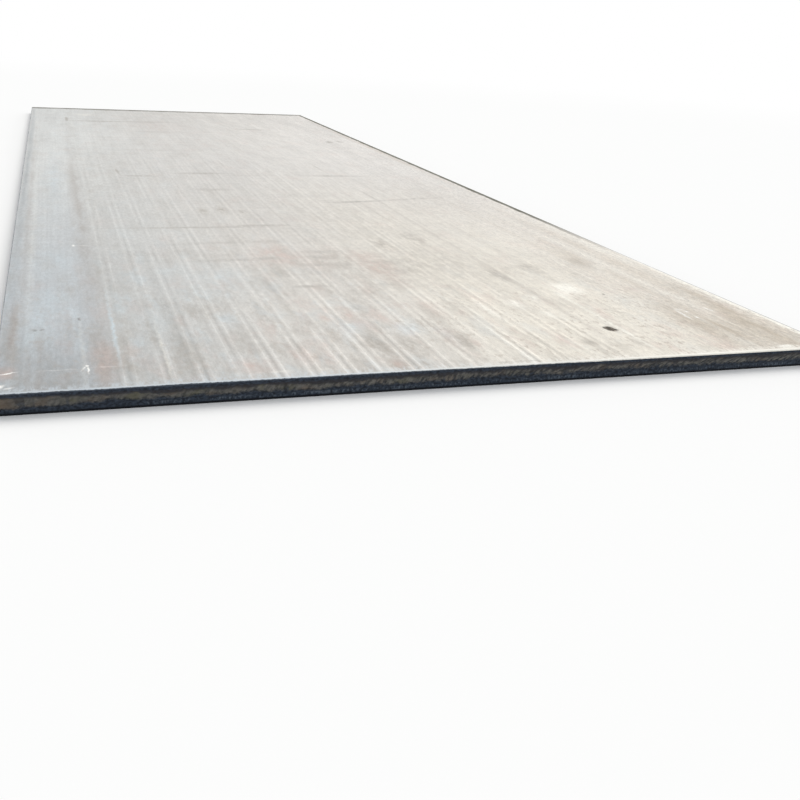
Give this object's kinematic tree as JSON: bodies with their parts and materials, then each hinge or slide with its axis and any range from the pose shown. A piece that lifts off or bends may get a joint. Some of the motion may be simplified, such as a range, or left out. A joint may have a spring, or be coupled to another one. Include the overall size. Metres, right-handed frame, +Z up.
{
  "type": "steel plate",
  "caption": "Flat rectangular hot-rolled steel plate with sheared edges and mill scale, stock for cutting, bending, welding and fabrication.",
  "frame": {"origin": "middle of the underside", "axes": "+X across the width, +Y along the length, which is the rolling direction, and +Z up through the thickness"},
  "size_m": [2, 6, 0.045],
  "materials": {
    "hot_rolled_steel": "pale grey mill scale with lengthwise streaks, on dark sheared edges with a rusty torn band"
  },
  "bodies": {
    "root": {"plate": "hot_rolled_steel"}
  },
  "joints": []
}
